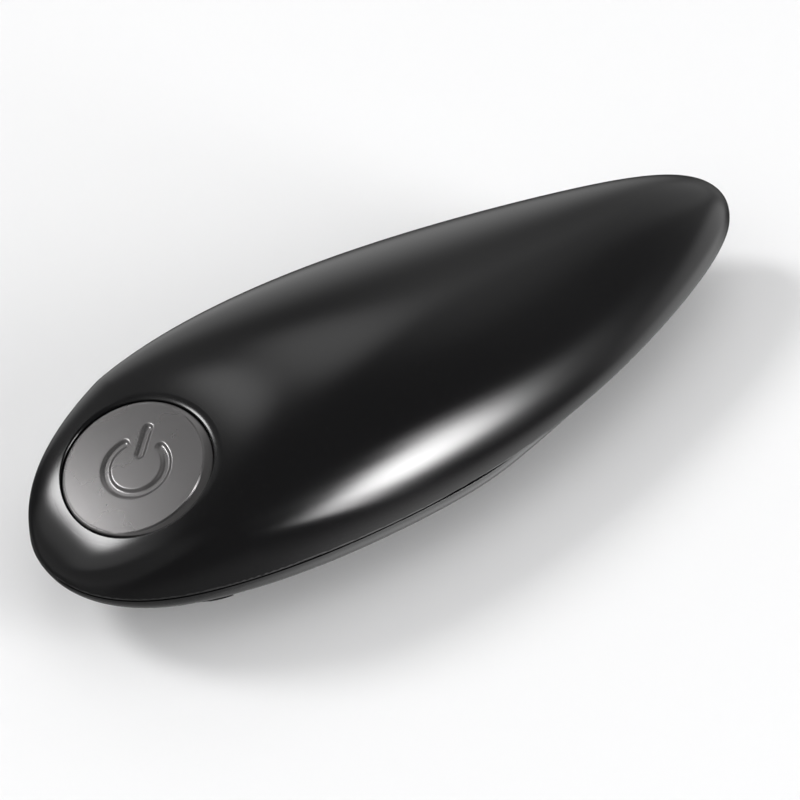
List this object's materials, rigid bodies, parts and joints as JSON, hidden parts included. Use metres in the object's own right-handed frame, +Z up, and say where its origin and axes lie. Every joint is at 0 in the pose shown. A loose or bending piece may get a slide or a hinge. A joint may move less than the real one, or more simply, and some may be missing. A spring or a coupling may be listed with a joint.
{
  "type": "electric can opener",
  "caption": "Hands-free battery can opener: pod-shaped black housing with one large round start button, eccentric cutter wheel, drive wheel and magnet underneath.",
  "frame": {"origin": "centre of the bounding box's base, level with the lower edge of the cutter guard and the tail runners", "axes": "+X from the button end to the tail, +Z up, the housing symmetric about the XZ plane"},
  "size_m": [0.2016, 0.0756, 0.0441],
  "materials": {
    "housing": "satin black moulding",
    "button": "satin gunmetal paint",
    "steel": "zinc-plated pressed steel",
    "steel_gear": "sintered steel",
    "tool_steel": "hardened and ground",
    "spring_steel": "nickel-plated wire and strip",
    "screw_steel": "zinc-plated",
    "motor_steel": "drawn steel can",
    "magnet": "nickel-plated",
    "brass": "turned",
    "contact": "nickel-plated strip",
    "inner_plastic": "black moulding",
    "nylon": "natural acetal",
    "board": "solder-masked board",
    "cell": "plain sleeved cell",
    "lead": "insulated wire"
  },
  "bodies": {
    "root": {"upper_shell": "housing", "lower_shell": "housing", "chassis_plate": "steel", "gearbox_cover": "inner_plastic", "gear_axles": "steel", "circuit_board": "board", "switch_body": "inner_plastic", "button_spring": "spring_steel", "motor_can": "motor_steel", "motor_end_cap": "inner_plastic", "drive_bush": "brass", "magnet": "magnet", "battery_tray": "inner_plastic", "battery_cells": "cell", "battery_contacts": "contact", "battery_springs": "spring_steel", "housing_screws": "screw_steel", "gearbox_screws": "screw_steel", "chassis_screws": "screw_steel", "tray_screws": "screw_steel", "switch_leads": "lead"},
    "button": {"start_button": "button"},
    "plunger": {"switch_plunger": "nylon"},
    "cover": {"battery_cover": "housing"},
    "rotor": {"motor_shaft": "steel", "motor_pinion": "brass"},
    "crown": {"crown_gear": "nylon"},
    "idler_1": {"idler_gear_1": "nylon"},
    "idler_2": {"idler_gear_2": "nylon"},
    "drive": {"output_gear": "steel_gear", "drive_spindle": "steel", "drive_wheel": "tool_steel", "clutch_washer": "spring_steel"},
    "clutch": {"clutch_pinion": "steel_gear"},
    "cutter_arm": {"cutter_carrier": "steel", "carrier_gear": "steel_gear", "cutter_screw": "screw_steel"},
    "cutter": {"cutter_wheel": "tool_steel"}
  },
  "joints": [
    {"name": "button_press", "type": "slide", "parent": "root", "child": "button", "axis": [0.3057, 0, -0.9521], "range_m": [0, 0.0018], "stiffness_N_per_m": 1200, "springref_m": -0.0015, "deforming": ["button_spring"]},
    {"name": "plunger_press", "type": "slide", "parent": "root", "child": "plunger", "axis": [0.3057, 0, -0.9521], "range_m": [0, 0.0018]},
    {"name": "cover_slide", "type": "slide", "parent": "root", "child": "cover", "axis": [1, 0, 0], "range_m": [0, 0.03]},
    {"name": "rotor_spin", "type": "hinge", "parent": "root", "child": "rotor", "pos_m": [0, -0.0135, 0.02545], "axis": [1, 0, 0], "continuous": true},
    {"name": "crown_spin", "type": "hinge", "parent": "root", "child": "crown", "pos_m": [-0.0206, -0.0135, 0.02], "axis": [0, 0, 1], "continuous": true},
    {"name": "idler_1_spin", "type": "hinge", "parent": "root", "child": "idler_1", "pos_m": [-0.01188, -0.00136, 0.01], "axis": [0, 0, 1], "continuous": true},
    {"name": "idler_2_spin", "type": "hinge", "parent": "root", "child": "idler_2", "pos_m": [-0.01966, 0.01319, 0.01], "axis": [0, 0, 1], "continuous": true},
    {"name": "drive_spin", "type": "hinge", "parent": "root", "child": "drive", "pos_m": [-0.0385, 0, 0.005], "axis": [0, 0, 1], "continuous": true},
    {"name": "cutter_swing", "type": "hinge", "parent": "root", "child": "cutter_arm", "pos_m": [-0.0593, 0, 0.005], "axis": [0, 0, 1], "range_deg": [0, 170]},
    {"name": "clutch_spin", "type": "hinge", "parent": "root", "child": "clutch", "pos_m": [-0.0385, 0, 0.01], "axis": [0, 0, 1], "range_deg": [-272, 0]},
    {"name": "cutter_spin", "type": "hinge", "parent": "cutter_arm", "child": "cutter", "pos_m": [-0.0634, 0, 0.003], "axis": [0, 0, 1], "continuous": true}
  ],
  "couplings": [
    {"joint": "plunger_press", "follows": "button_press", "ratio": 1},
    {"joint": "crown_spin", "follows": "rotor_spin", "ratio": 0.27778},
    {"joint": "idler_1_spin", "follows": "rotor_spin", "ratio": -0.07716},
    {"joint": "idler_2_spin", "follows": "rotor_spin", "ratio": 0.022694},
    {"joint": "drive_spin", "follows": "rotor_spin", "ratio": -0.006304},
    {"joint": "clutch_spin", "follows": "cutter_swing", "ratio": -1.6}
  ]
}
